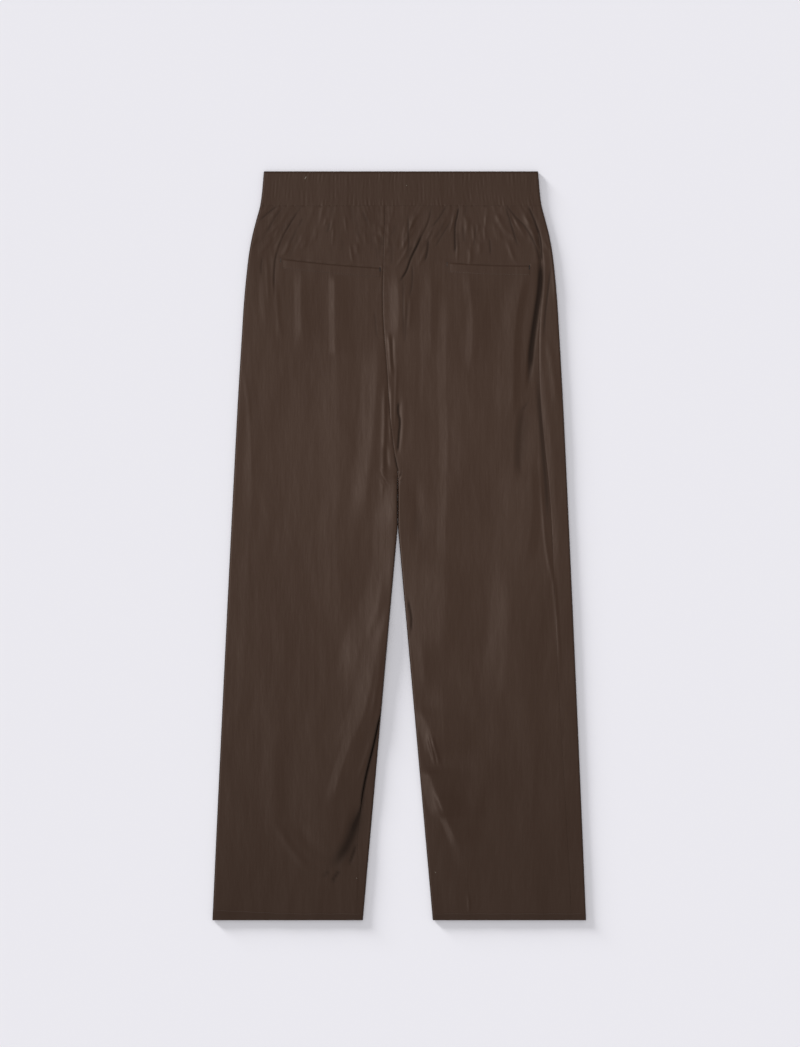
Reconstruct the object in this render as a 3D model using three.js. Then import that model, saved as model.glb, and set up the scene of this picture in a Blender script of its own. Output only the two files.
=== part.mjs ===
// Pull-on wide-leg trousers in satin, lying flat on a surface with the back uppermost.
// Millimetres, +Z up. +Y points to the waist and +X to the right of the back. The origin is on the surface,
// under the middle of the garment. Left and right are the wearer's, which from behind are also the viewer's.
// Places are given two ways: down is the distance below the waist edge, and a station is a place round a tube.
import * as THREE from "three";

// Driving sizes
const LENGTH = 1048; // waist edge to hem
const BAND_DEPTH = 48; // elasticated casing
const FORK_DOWN = 418; // where the centre seams and the inseams meet
const PART_DOWN = 498; // where the legs stop touching
const HEM_SPREAD = 48.8; // half of the gap between the legs at the hem
const HEM_DEPTH = 9; // turned-up hem
const GAP = 0.3; // between sewn pieces
const CLOTH = 1.3; // wall of a leg panel
const HEM_CLOTH = 1.9; // wall where the hem is turned up
const CASING = 2.2; // wall of the waistband: cloth, elastic, cloth
const PANEL_HEIGHT = 5; // top of the upper layer where it lies plain
const BAND_HEIGHT = 5.4; // top of the upper half of the waistband
const LOWEST_TOP = CLOTH + 0.4 + CLOTH; // the upper layer in a trough, clear of the under layer
const LEAN = 2.4; // the waist lies this far to the right of the hems' middle
const FORK_X = -2; // the fork and the gap between the legs lie this far off the middle

// Half of the laid width
const OUTLINE = [
  { down: 0, half: 191.8 },
  { down: 48, half: 197 },
  { down: 68, half: 202.3 },
  { down: 90, half: 207.9 },
  { down: 113, half: 212.1 },
  { down: 135, half: 214.9 },
  { down: 180, half: 219.1 },
  { down: 236, half: 222.6 },
  { down: 320, half: 227.5 },
  { down: 460, half: 234.5 },
  { down: 600, half: 241.2 },
  { down: 880, half: 254.1 },
  { down: LENGTH, half: 261.5 },
];

// Centre seams above the fork: the garment lies turned a little, so the back one is left of the middle
const CENTRE_SEAMS = [
  { down: BAND_DEPTH, back: -20, front: 20 },
  { down: 190, back: -23, front: 20 },
  { down: 286, back: -16.5, front: 15 },
  { down: 340, back: -13, front: 11 },
  { down: 398, back: -6, front: 2 },
  { down: FORK_DOWN, back: FORK_X, front: FORK_X },
];

// Side seams and the left inseam, measured along the cloth from the fold of the edge: above zero they lie on
// the upper layer, and below it underneath
const WRAPS = [
  { down: 0, rightSide: 14, leftSide: -14, leftInseam: 0 },
  { down: 48, rightSide: 15, leftSide: -15, leftInseam: 0 },
  { down: 90, rightSide: 17, leftSide: -16, leftInseam: 0 },
  { down: 160, rightSide: 22, leftSide: -20, leftInseam: 0 },
  { down: 236, rightSide: 30, leftSide: -24, leftInseam: 0 },
  { down: 320, rightSide: 33, leftSide: -26, leftInseam: 0 },
  { down: 460, rightSide: 26, leftSide: -26, leftInseam: 0 },
  { down: 600, rightSide: 26, leftSide: -26, leftInseam: 0 },
  { down: 740, rightSide: 26, leftSide: -25, leftInseam: 0 },
  { down: 794, rightSide: 25, leftSide: -24, leftInseam: 6 },
  { down: 855, rightSide: 24, leftSide: -24, leftInseam: 15 },
  { down: 930, rightSide: 23, leftSide: -23, leftInseam: 19 },
  { down: 989, rightSide: 22, leftSide: -22, leftInseam: 13 },
  { down: LENGTH, rightSide: 22, leftSide: -22, leftInseam: 11 },
];

// Largest folds of the upper layer, from one end to the other. bow moves the middle sideways, width is where
// the fold has dropped to a third of its height, and a trough has a height below zero.
const FOLDS = [
  // right side seam, upper part
  { x0: 186, down0: 52, x1: 192, down1: 215, bow: 11, width: 6, height: -2.6 },
  { x0: 199, down0: 130, x1: 160, down1: 430, bow: 2, width: 7, height: -2.4 },
  { x0: 207, down0: 85, x1: 213, down1: 420, bow: 2, width: 6, height: 3.4 },
  { x0: 186, down0: 130, x1: 168, down1: 330, bow: -2, width: 7, height: 1.8 },
  { x0: 161, down0: 160, x1: 148, down1: 330, bow: 0, width: 10, height: 1.4 },
  // right side seam, lower part
  { x0: 194, down0: 232, x1: 219, down1: 670, bow: -2, width: 5, height: -2 },
  { x0: 206, down0: 380, x1: 229, down1: 720, bow: -1, width: 6, height: 1.8 },
  { x0: 180, down0: 330, x1: 186, down1: 620, bow: 2, width: 9, height: 1.5 },
  // middle of the seat
  { x0: 46, down0: 52, x1: -3, down1: 160, bow: -2, width: 5, height: -2.8 },
  { x0: 58, down0: 60, x1: 16, down1: 170, bow: -1, width: 6, height: 2.2 },
  { x0: 38, down0: 92, x1: 35, down1: 134, bow: 0, width: 5, height: -1.8 },
  { x0: -7, down0: 130, x1: -8, down1: 250, bow: 0, width: 9, height: 3.2 },
  { x0: -22, down0: 140, x1: -15, down1: 335, bow: -4, width: 5, height: -2 },
  { x0: 10, down0: 100, x1: 8, down1: 235, bow: 0, width: 5, height: -2 },
  { x0: 20, down0: 150, x1: 12, down1: 300, bow: 2, width: 6, height: 1.6 },
  { x0: -1, down0: 300, x1: -4, down1: 405, bow: 2, width: 5, height: -2.4 },
  { x0: 6, down0: 290, x1: 5, down1: 420, bow: 2, width: 6, height: 1.8 },
  // left thigh and knee
  { x0: -38, down0: 215, x1: -42, down1: 405, bow: 0, width: 10, height: 2.4 },
  { x0: -30, down0: 425, x1: -46, down1: 690, bow: 6, width: 9, height: 2.6 },
  { x0: -52, down0: 660, x1: -82, down1: 850, bow: -2, width: 10, height: 2.6 },
  { x0: -24, down0: 748, x1: -62, down1: 930, bow: -2, width: 5, height: -2.2 },
  { x0: -54, down0: 872, x1: -92, down1: 972, bow: 0, width: 8, height: -1.8 },
  // right knee and shin
  { x0: 24, down0: 735, x1: 54, down1: 822, bow: 0, width: 6, height: 2 },
  { x0: 30, down0: 836, x1: 96, down1: 985, bow: 3, width: 7, height: 2.2 },
  // left hip
  { x0: -135, down0: 50, x1: -176, down1: 188, bow: -13, width: 5, height: -2.4 },
  { x0: -148, down0: 60, x1: -188, down1: 210, bow: -12, width: 6, height: 1.8 },
  { x0: 148, down0: 52, x1: 168, down1: 112, bow: -2, width: 5, height: -2 },
  { x0: 82, down0: 56, x1: 78, down1: 114, bow: 0, width: 5, height: -2.4 },
  // long soft waves that hang from the pockets and the gathers
  { x0: -139, down0: 140, x1: -140, down1: 235, bow: 0, width: 7, height: 1.3 },
  { x0: -92, down0: 140, x1: -96, down1: 275, bow: 0, width: 6, height: 1.6 },
  { x0: 39, down0: 135, x1: 38, down1: 340, bow: 0, width: 8, height: 1.3 },
  { x0: 92, down0: 140, x1: 97, down1: 400, bow: 0, width: 9, height: 1.3 },
  { x0: 61, down0: 240, x1: 54, down1: 820, bow: 2, width: 10, height: 1.5 },
  { x0: 146, down0: 240, x1: 134, down1: 760, bow: 4, width: 14, height: 1.5 },
  { x0: -88, down0: 290, x1: -94, down1: 680, bow: 4, width: 14, height: 1.3 },
  { x0: -166, down0: 340, x1: -172, down1: 700, bow: 3, width: 15, height: 1.3 },
  { x0: -215, down0: 240, x1: -224, down1: 760, bow: 2, width: 8, height: 1.4 },
  { x0: 170, down0: 740, x1: 160, down1: 1000, bow: 0, width: 16, height: 1.2 },
  { x0: -150, down0: 760, x1: -130, down1: 1010, bow: 0, width: 16, height: 1.2 },
];

// Back pocket openings, from their left ends, and the welt below each
const WELT_DEPTH = 14;
const WELT_CLOTH = 1;
const NEAR_END = 0.01; // no column this close to a welt's end, as a share of the panel's width
const POCKETS = [
  { name: "welt_left", side: -1, x0: -167, down0: 122, x1: -26, down1: 135 },
  { name: "welt_right", side: 1, x0: 66, down0: 127.5, x1: 183, down1: 132 },
];

// Gathers
const BAND_GATHERS = 60;
const BAND_GATHER_HEIGHT = 0.9;
const PANEL_GATHER_HEIGHT = 1.7;
const PANEL_GATHER_REACH = 62; // longest gather below the waistband

// Share of a tube's upper run that its roll takes in stations
const LEG_ROLL = 0.12;
const BAND_ROLL = 0.05;

// Rows of points down the legs: steps of about one size from each depth to the next
const LEG_STEPS = [
  { to: 130, count: 6 },
  { to: 160, count: 2 },
  { to: FORK_DOWN, count: 7 },
  { to: 440, count: 2 },
  { to: PART_DOWN, count: 2 },
  { to: LENGTH - HEM_DEPTH - GAP, count: 9 },
  { to: LENGTH - HEM_DEPTH, count: 1 },
  { to: LENGTH, count: 1 },
];
const BAND_ROWS = [
  { down: 0, gather: 0.3 },
  { down: 5, gather: 1 },
  { down: 28, gather: 0.7 },
  { down: BAND_DEPTH, gather: 1 },
];
const BACK_COLUMNS = 38;
const FRONT_COLUMNS = 14;
const BAND_FRONT_COLUMNS = 14;

const { lerp, smoothstep } = THREE.MathUtils;

/** A smooth function of depth through one column of a table. */
function throughColumn(table, column) {
  const curve = new THREE.CubicInterpolant(
    table.map((row) => row.down),
    table.map((row) => row[column]),
    1,
    [0],
  );
  return (down) => curve.evaluate(down)[0];
}

const halfWidth = throughColumn(OUTLINE, "half");
const backSeam = throughColumn(CENTRE_SEAMS, "back");
const frontSeam = throughColumn(CENTRE_SEAMS, "front");
const wrap = {
  rightSide: throughColumn(WRAPS, "rightSide"),
  leftSide: throughColumn(WRAPS, "leftSide"),
  leftInseam: throughColumn(WRAPS, "leftInseam"),
};

const lean = (down) => LEAN * (1 - down / LENGTH);

/** Height that one fold adds at a place, fading to nothing at both of its ends. */
function foldHeight(fold, x, down) {
  const along = (down - fold.down0) / (fold.down1 - fold.down0);
  if (along <= 0 || along >= 1) return 0;
  const middle = lerp(fold.x0, fold.x1, along) + 4 * fold.bow * along * (1 - along);
  const slope = (fold.x1 - fold.x0) / (fold.down1 - fold.down0);
  const across = (x - middle) / Math.hypot(1, slope);
  const fade = Math.sqrt(Math.sin(Math.PI * along));
  return fold.height * fade * Math.exp(-((across / fold.width) ** 2));
}

/** Top of the upper layer: its plain height with the folds on it, never down into the under layer. */
function upperTop(x, down, plain, share) {
  const folded = FOLDS.reduce((sum, fold) => sum + foldHeight(fold, x, down), 0);
  return Math.max(LOWEST_TOP, plain + share * folded);
}

/**
 * A flattened tube cut across at one depth, in outward distances from the middle line, which side turns into
 * x. Stations run once round it: 0 to 1 along the upper run from the inner edge, then round the outer roll,
 * back along the under run, and up the inner roll. innerTurn is how much of its half turn the inner roll
 * makes: none where the cloth runs on to a centre seam, and 1 on a leg.
 */
class TubeSection {
  constructor({ side, down, upperInner, underInner, outer, height, roll, innerTurn, folded }) {
    Object.assign(this, { side, down, roll, innerTurn, folded });
    this.radius = height / 2;
    const innerReach = this.radius * Math.sin((innerTurn * Math.PI) / 2);
    this.upperStart = upperInner + innerReach;
    this.underStart = underInner + innerReach;
    this.outerCentre = outer - this.radius;
    this.halfRoll = (this.radius * Math.PI) / 2;
  }

  /** Once round, in stations. */
  get round() {
    return 2 + 2 * this.roll;
  }

  /** Station of a seam on the outer roll, or wrap millimetres along the cloth from its fold. */
  outerSeam(mm) {
    const past = Math.abs(mm) - this.halfRoll;
    if (past <= 0) return 1 + (this.roll / 2) * (1 - mm / this.halfRoll);
    return mm > 0
      ? 1 - past / (this.outerCentre - this.upperStart)
      : 1 + this.roll + past / (this.outerCentre - this.underStart);
  }

  /** Station of a seam on the inner roll, counted back from station 0. */
  innerSeam(mm) {
    const past = Math.abs(mm) - this.halfRoll;
    if (past <= 0) return (this.roll / 2) * (mm / this.halfRoll - 1);
    return mm > 0
      ? past / (this.outerCentre - this.upperStart)
      : -this.roll - past / (this.outerCentre - this.underStart);
  }

  /** Point on a roll, with its angle measured from straight up. */
  rollPoint(centre, direction, angle, inset) {
    const radius = this.radius - inset;
    return [centre + direction * radius * Math.sin(angle), this.radius + radius * Math.cos(angle)];
  }

  /** Point of the wall at a station, moved in from the outer face by inset and raised by lift. */
  point(station, inset, lift = 0) {
    const { roll, round, upperStart, underStart, outerCentre } = this;
    const s = station > round ? station - round : station;
    let outward, z;
    if (s < 0) [outward, z] = this.rollPoint(upperStart, -1, (-s / roll) * Math.PI, inset);
    else if (s <= 1) {
      outward = lerp(upperStart, outerCentre, s);
      z = this.upperHeight(outward) - inset + lift;
    } else if (s < 1 + roll) {
      [outward, z] = this.rollPoint(outerCentre, 1, ((s - 1) / roll) * Math.PI, inset);
    } else if (s <= 2 + roll) {
      outward = lerp(outerCentre, underStart, s - 1 - roll);
      z = inset;
    } else [outward, z] = this.rollPoint(underStart, -1, ((round - s) / roll) * Math.PI, inset);
    return new THREE.Vector3(this.side * outward, LENGTH / 2 - this.down, z);
  }

  /** Top of the upper run, plain within a short way of each roll. */
  upperHeight(outward) {
    const plain = 2 * this.radius;
    if (!this.folded) return plain;
    const fadeOuter = smoothstep(this.outerCentre - outward, 0, 9);
    const fadeInner = lerp(1, smoothstep(outward - this.upperStart, 0, 9), this.innerTurn);
    return upperTop(this.side * outward, this.down, plain, fadeOuter * fadeInner);
  }
}

/** Section of one leg, or of the half of the seat above it. */
function legSection(side, down) {
  const innerTurn = smoothstep(down, FORK_DOWN, FORK_DOWN + 22);
  const spread = (HEM_SPREAD * Math.max(0, down - PART_DOWN)) / (LENGTH - PART_DOWN);
  const forked = down >= FORK_DOWN;
  return new TubeSection({
    side,
    down,
    upperInner: side * (forked ? FORK_X : backSeam(down)) + GAP / 2 + spread,
    underInner: side * (forked ? FORK_X : frontSeam(down)) + GAP / 2 + spread,
    outer: halfWidth(down) + side * lean(down),
    height: lerp(BAND_HEIGHT, PANEL_HEIGHT, smoothstep(down, BAND_DEPTH, 2 * BAND_DEPTH)),
    roll: LEG_ROLL,
    innerTurn,
    folded: true,
  });
}

/** Section of the waistband, one tube from side to side. */
function bandSection(down) {
  const half = halfWidth(down);
  return new TubeSection({
    side: 1,
    down,
    upperInner: lean(down) - half,
    underInner: lean(down) - half,
    outer: lean(down) + half,
    height: BAND_HEIGHT,
    roll: BAND_ROLL,
    innerTurn: 1,
    folded: false,
  });
}

/** Where a leg's two panels end, in stations, with half of the sewing gap left at each seam. */
function legSeams(section) {
  const right = section.side > 0;
  const outerWrap = right ? wrap.rightSide(section.down) : wrap.leftSide(section.down);
  const innerWrap = right || section.down < PART_DOWN ? 0 : Math.max(0, wrap.leftInseam(section.down));
  const underEnd = 2 + section.roll;
  return {
    back: [
      section.innerTurn * section.innerSeam(innerWrap + GAP / 2),
      section.outerSeam(outerWrap + GAP / 2),
    ],
    front: [
      section.outerSeam(outerWrap - GAP / 2),
      underEnd + section.innerTurn * (section.innerSeam(innerWrap - GAP / 2) + section.roll),
    ],
  };
}

/** A closed wall from a grid of points: outerAt and innerAt give the two faces at a row and a column. */
function wallGeometry(rows, columns, outerAt, innerAt) {
  const positions = [];
  for (const pointAt of [outerAt, innerAt])
    for (let i = 0; i < rows; i++)
      for (let j = 0; j < columns; j++) positions.push(...pointAt(i, j).toArray());
  const outer = (i, j) => i * columns + j;
  const inner = (i, j) => (rows + i) * columns + j;
  const faces = [];
  const quad = (a, b, c, d) => faces.push(a, b, c, a, c, d);
  for (let i = 0; i < rows - 1; i++)
    for (let j = 0; j < columns - 1; j++) {
      quad(outer(i, j), outer(i + 1, j), outer(i + 1, j + 1), outer(i, j + 1));
      quad(inner(i, j), inner(i, j + 1), inner(i + 1, j + 1), inner(i + 1, j));
    }
  for (const [i, turn] of [[0, false], [rows - 1, true]])
    for (let j = 0; j < columns - 1; j++) {
      const rim = [outer(i, j), outer(i, j + 1), inner(i, j + 1), inner(i, j)];
      quad(...(turn ? rim.reverse() : rim));
    }
  for (const [j, turn] of [[0, true], [columns - 1, false]])
    for (let i = 0; i < rows - 1; i++) {
      const rim = [outer(i, j), outer(i + 1, j), inner(i + 1, j), inner(i, j)];
      quad(...(turn ? rim.reverse() : rim));
    }
  return facingOut(positions, faces);
}

/** Geometry of a closed mesh, with its faces turned round if they point inwards. */
function facingOut(positions, faces) {
  const corner = (k) => new THREE.Vector3().fromArray(positions, 3 * faces[k]);
  let volume = 0;
  for (let k = 0; k < faces.length; k += 3) volume += corner(k).dot(corner(k + 1).cross(corner(k + 2)));
  if (volume < 0) faces.reverse();
  const geometry = new THREE.BufferGeometry();
  geometry.setAttribute("position", new THREE.Float32BufferAttribute(positions, 3));
  geometry.setIndex(faces);
  geometry.computeVertexNormals();
  return geometry;
}

/** Depths of the rows of points down a leg. */
function legDowns() {
  const downs = [BAND_DEPTH + GAP];
  for (const { to, count } of LEG_STEPS) {
    const from = downs[downs.length - 1];
    for (let k = 1; k <= count; k++) downs.push(lerp(from, to, k / count));
  }
  return downs;
}

/** Places of columns from 0 to 1, closer together towards both ends. */
function closerAtEnds(count) {
  return Array.from({ length: count + 1 }, (_, j) => {
    const even = j / count;
    return lerp(even, (1 - Math.cos(Math.PI * even)) / 2, 0.5);
  });
}

/** An uneven strength from about 0.4 to 1 for one gather of many. */
const unevenness = (index) => 0.7 + 0.18 * Math.sin(2.4 * index) + 0.12 * Math.sin(5.1 * index + 1);

/** Rise of a back panel's gathers: every second column, each of its own length. */
function panelGather(column, down) {
  if (column % 2 === 0) return 0;
  const reach = PANEL_GATHER_REACH * unevenness(column + 3);
  return PANEL_GATHER_HEIGHT * unevenness(column) * smoothstep(BAND_DEPTH + reach - down, 0, reach);
}

const downs = legDowns();
const legSections = {
  left: downs.map((down) => legSection(-1, down)),
  right: downs.map((down) => legSection(1, down)),
};
const clothInset = (down) => (down >= LENGTH - HEM_DEPTH ? HEM_CLOTH : CLOTH);

/** Wall of a back or front leg panel. */
function legPanel(sections, layer, columnCount) {
  const columns = closerAtEnds(columnCount);
  const seams = sections.map((section) => legSeams(section)[layer]);
  const at = (i, j, inset, lift) => sections[i].point(lerp(...seams[i], columns[j]), inset, lift);
  const lift = (i, j) => (layer === "back" && j < columnCount ? panelGather(j, downs[i]) : 0);
  return wallGeometry(
    sections.length,
    columns.length,
    (i, j) => at(i, j, 0, lift(i, j)),
    (i, j) => at(i, j, clothInset(downs[i]), 0),
  );
}

/** Wall of the upper or the under half of the waistband; only the upper one shows its gathers. */
function bandPanel(layer) {
  const sections = BAND_ROWS.map((row) => bandSection(row.down));
  const count = layer === "back" ? Math.round(2 * BAND_GATHERS * (1 + BAND_ROLL)) : BAND_FRONT_COLUMNS;
  const ends = sections.map((section) => {
    const away = layer === "back" ? GAP / 2 : -GAP / 2;
    const left = section.innerSeam(wrap.leftSide(section.down) + away);
    const right = section.outerSeam(wrap.rightSide(section.down) + away);
    return layer === "back" ? [left, right] : [right, section.round + left];
  });
  const station = (i, j) => lerp(...ends[i], j / count);
  const lift = (i, j) => {
    const s = station(i, j);
    if (layer === "front" || j % 2 === 0 || s < 0 || s > 1) return 0;
    return BAND_GATHER_HEIGHT * unevenness(j) * BAND_ROWS[i].gather;
  };
  return wallGeometry(
    sections.length,
    count + 1,
    (i, j) => sections[i].point(station(i, j), 0, lift(i, j)),
    (i, j) => sections[i].point(station(i, j), CASING),
  );
}

/** Welt of a back pocket, made from the back panel's own columns and lifted off it by the sewing gap. */
function weltPanel({ side, x0, down0, x1, down1 }) {
  const stationOf = (x, down) => {
    const section = legSection(side, down);
    return (side * x - section.upperStart) / (section.outerCentre - section.upperStart);
  };
  const columnPlace = (x, down) => {
    const [start, end] = legSeams(legSection(side, down)).back;
    return (stationOf(x, down) - start) / (end - start);
  };
  const ends = [columnPlace(x0, down0), columnPlace(x1, down1)].sort((a, b) => a - b);
  const inside = (place) => place > ends[0] + NEAR_END && place < ends[1] - NEAR_END;
  const between = closerAtEnds(BACK_COLUMNS).filter(inside);
  const places = [ends[0], ...between, ends[1]];
  const depths = [0, 0.5, 1];
  const at = (i, j, rise) => {
    const along = (places[j] - ends[0]) / (ends[1] - ends[0]);
    const opening = side > 0 ? lerp(down0, down1, along) : lerp(down1, down0, along);
    const section = legSection(side, opening + depths[i] * WELT_DEPTH);
    return section.point(lerp(...legSeams(section).back, places[j]), 0, rise);
  };
  return wallGeometry(
    depths.length,
    places.length,
    (i, j) => at(i, j, GAP + WELT_CLOTH),
    (i, j) => at(i, j, GAP),
  );
}

const satin = () =>
  new THREE.MeshStandardMaterial({ color: 0x48382f, roughness: 0.5, metalness: 0, name: "satin" });

const trousers = new THREE.Group();
const sew = (name, geometry) => {
  const mesh = new THREE.Mesh(geometry, satin());
  mesh.name = name;
  trousers.add(mesh);
};

sew("waistband_back", bandPanel("back"));
sew("waistband_front", bandPanel("front"));
for (const [name, sections] of Object.entries(legSections)) {
  sew(`back_${name}`, legPanel(sections, "back", BACK_COLUMNS));
  sew(`front_${name}`, legPanel(sections, "front", FRONT_COLUMNS));
}
for (const pocket of POCKETS) sew(pocket.name, weltPanel(pocket));

export default trousers;
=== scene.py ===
"""Pull-on wide-leg satin trousers, laid flat on a pale floor with the back uppermost.

Tables are in millimetres. `down` is the distance below the waist edge, and a station is a place round a tube
of cloth: 0 to 1 over its upper run, then round the outer roll, back under it and up the inner roll.
"""

from __future__ import annotations

import logging
import math
from dataclasses import dataclass
from enum import Enum
from typing import Any, Callable, Iterator, Sequence

import bmesh
import bpy
import numpy as np
from mathutils import Matrix, Vector

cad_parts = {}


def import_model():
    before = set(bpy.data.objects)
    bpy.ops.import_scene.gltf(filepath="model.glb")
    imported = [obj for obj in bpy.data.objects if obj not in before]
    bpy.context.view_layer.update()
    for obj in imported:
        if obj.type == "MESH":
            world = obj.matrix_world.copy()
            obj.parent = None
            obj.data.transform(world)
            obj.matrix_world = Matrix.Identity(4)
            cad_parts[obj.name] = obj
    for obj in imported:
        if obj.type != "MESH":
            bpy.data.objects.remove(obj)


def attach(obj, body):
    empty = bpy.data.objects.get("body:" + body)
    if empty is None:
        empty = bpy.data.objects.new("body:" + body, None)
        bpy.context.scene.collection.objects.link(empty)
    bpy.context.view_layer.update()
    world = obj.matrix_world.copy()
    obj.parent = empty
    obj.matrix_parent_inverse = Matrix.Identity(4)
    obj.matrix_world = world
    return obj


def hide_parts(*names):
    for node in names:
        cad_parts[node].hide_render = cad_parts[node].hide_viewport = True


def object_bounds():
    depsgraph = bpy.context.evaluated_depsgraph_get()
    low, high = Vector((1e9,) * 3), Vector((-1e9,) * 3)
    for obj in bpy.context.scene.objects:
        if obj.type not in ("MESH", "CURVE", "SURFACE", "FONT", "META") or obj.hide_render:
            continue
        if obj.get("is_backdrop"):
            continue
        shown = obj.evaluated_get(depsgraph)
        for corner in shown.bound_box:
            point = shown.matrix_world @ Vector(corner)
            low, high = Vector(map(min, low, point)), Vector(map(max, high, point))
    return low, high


LOG = logging.getLogger("trousers")
Array = np.ndarray
MM = 0.001

# Sizes of the garment
LENGTH = 1048.0
BAND_DEPTH = 48.0
FORK_DOWN = 418.0  # where the seat ends and the inseams begin
PART_DOWN = 498.0  # where the gap between the legs begins
HEM_SPREAD = 48.8  # half of that gap at the hems
HEM_DEPTH = 9.0
FORK_X = -2.0
LEAN = 2.4  # how far the waist lies to the right of the hems
WELT_DEPTH = 14.0
WELT_INSET = 1.6  # the welt's stitching, above its lower edge

# Heights and gaps of the layers
BAND_HEIGHT = 5.4
PANEL_HEIGHT = 5.0
LOWEST_TOP = 2.6  # the upper layer sinks no lower than this
SINK_EASE = 0.4  # and slows down over this much above it
SEWING_GAP = 0.3
HALF_SEAM = 0.06  # half of the hairline between two panels
LEG_ROLL = 0.12  # stations round the fold of a leg's edge
BAND_ROLL = 0.05  # and of the casing's

# Shapes of folds
CREASE_SHARE = 0.3  # share of a crease's depth that is modelled; the rest shows as a line of painted shade
PANE_ROUNDING = 0.004
PANE_BELLY = 1.25
LIP_DROP = 1.6
LIP_EDGE = 0.8


def blend(value: Array | float, low: float, high: float) -> Array:
    """Smooth step of value from 0 at low to 1 at high."""
    share = np.clip((value - low) / (high - low), 0.0, 1.0)
    return share * share * (3.0 - 2.0 * share)


def mix(start: Array | float, end: Array | float, share: Array | float) -> Array:
    """Value a share of the way from start to end."""
    return start + (end - start) * share


def bell(offset: Array, width: float) -> Array:
    """1 where the offset is nothing, falling smoothly to 0 beyond the width."""
    return np.exp(-((offset / width) ** 2))


class Curve:
    """A smooth function of depth through the points of a short table."""

    def __init__(self, points: Sequence[tuple[float, float]]) -> None:
        """Fit the curve.

        Args:
            points: (down, value) pairs, going down.
        """
        self.downs, self.values = (np.array(column, float) for column in zip(*points))
        slopes = np.diff(self.values) / np.diff(self.downs)
        self.tangents = np.concatenate((slopes[:1], (slopes[1:] + slopes[:-1]) / 2, slopes[-1:]))

    def __call__(self, down: Array | float) -> Array:
        """Value at each depth."""
        depth = np.clip(down, self.downs[0], self.downs[-1])
        k = np.clip(np.searchsorted(self.downs, depth, side="right") - 1, 0, len(self.downs) - 2)
        step = self.downs[k + 1] - self.downs[k]
        p = (depth - self.downs[k]) / step
        start, end = self.values[k], self.values[k + 1]
        leave, arrive = self.tangents[k] * step, self.tangents[k + 1] * step
        smooth = p * p * (3.0 - 2.0 * p)
        return mix(start, end, smooth) + p * (1.0 - p) * (leave * (1.0 - p) - arrive * p)


HALF_WIDTH = Curve((
    (0, 191.8), (48, 197), (68, 202.3), (90, 207.9), (113, 212.1), (135, 214.9), (180, 219.1),
    (236, 222.6), (320, 227.5), (460, 234.5), (600, 241.2), (880, 254.1), (LENGTH, 261.5),
))
BACK_SEAM = Curve(((BAND_DEPTH, -20), (190, -23), (286, -16.5), (340, -13), (398, -6), (FORK_DOWN, FORK_X)))
FRONT_SEAM = Curve(((BAND_DEPTH, 20), (190, 20), (286, 15), (340, 11), (398, 2), (FORK_DOWN, FORK_X)))
RIGHT_SIDE_WRAP = Curve((
    (0, 14), (48, 15), (90, 17), (160, 22), (236, 30), (320, 33), (460, 26),
    (600, 26), (740, 26), (794, 25), (855, 24), (930, 23), (989, 22), (LENGTH, 22),
))
LEFT_SIDE_WRAP = Curve((
    (0, -14), (48, -15), (90, -16), (160, -20), (236, -24), (320, -26),
    (600, -26), (740, -25), (855, -24), (930, -23), (989, -22), (LENGTH, -22),
))
LEFT_INSEAM_WRAP = Curve(((600, 0), (740, 0), (794, 6), (855, 15), (930, 19), (989, 13), (LENGTH, 11)))


class Profile(Enum):
    """Shape of a fold across its own line."""

    SOFT = "soft"
    CREASE = "crease"
    LIP = "lip"
    PANE = "pane"

    def height(self, share: Array, across: Array) -> Array:
        """Height of a fold of height 1.

        Args:
            share: signed distance from the fold's line, growing to the right, in widths of the fold.
            across: the same distance in millimetres.

        Returns:
            The height at each distance.
        """
        wave = np.exp(-(share**2))
        if self is Profile.PANE:
            return np.maximum(0.0, 1.0 - np.sqrt(share**2 + PANE_ROUNDING)) ** PANE_BELLY
        if self is Profile.LIP:
            return wave * (1.0 - LIP_DROP * blend(across, -LIP_EDGE, LIP_EDGE))
        return wave


@dataclass(frozen=True)
class Fold:
    """One fold of the upper layer, along a smooth line that goes down the cloth."""

    profile: Profile
    height: float
    width: float
    points: tuple[tuple[float, float], ...]
    fade: float
    right_width: float

    def rise(self, x: Array, down: Array) -> Array:
        """Height that the fold adds at each place.

        Args:
            x: places across, to the right of the middle.
            down: depths below the waist edge.

        Returns:
            The added height, zero beyond the fold's ends.
        """
        line = Curve([(d, px) for px, d in self.points])
        first, last = line.downs[0], line.downs[-1]
        result = np.zeros_like(x)
        far = 3 * max(self.width, self.right_width) + 4
        middle = (x > line.values.min() - far) & (x < line.values.max() + far)
        near = middle & (down > first) & (down < last)
        if not near.any():
            return result
        depth = down[near]
        slope = (line(depth + 1.0) - line(depth - 1.0)) / 2.0
        across = (x[near] - line(depth)) / np.hypot(1.0, slope)
        share = across / np.where(across < 0, self.width, self.right_width)
        along = (depth - first) / (last - first)
        ends = blend(along, 0.0, self.fade) * blend(1.0 - along, 0.0, self.fade)
        other_leg = (x[near] > FORK_X) != (line(depth) > FORK_X)
        ends *= 1 - other_leg * blend(depth, FORK_DOWN - 40, PART_DOWN)
        result[near] = self.height * ends * self.profile.height(share, across)
        return result


Point = tuple[float, float]


def soft(height: float, width: float, *points: Point, fade: float = 0.3) -> Fold:
    """Round ridge, or trough if its height is below zero."""
    return Fold(Profile.SOFT, height, width, points, fade, width)


def crease(depth: float, width: float, *points: Point, fade: float = 0.25) -> Fold:
    """Sharp pinched line that sinks into the cloth."""
    return Fold(Profile.CREASE, -depth, width, points, fade, width)


def lip(height: float, width: float, *points: Point, fade: float = 0.3) -> Fold:
    """Edge of cloth that rises to its line and drops beyond it."""
    return Fold(Profile.LIP, height, width, points, fade, width)


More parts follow.
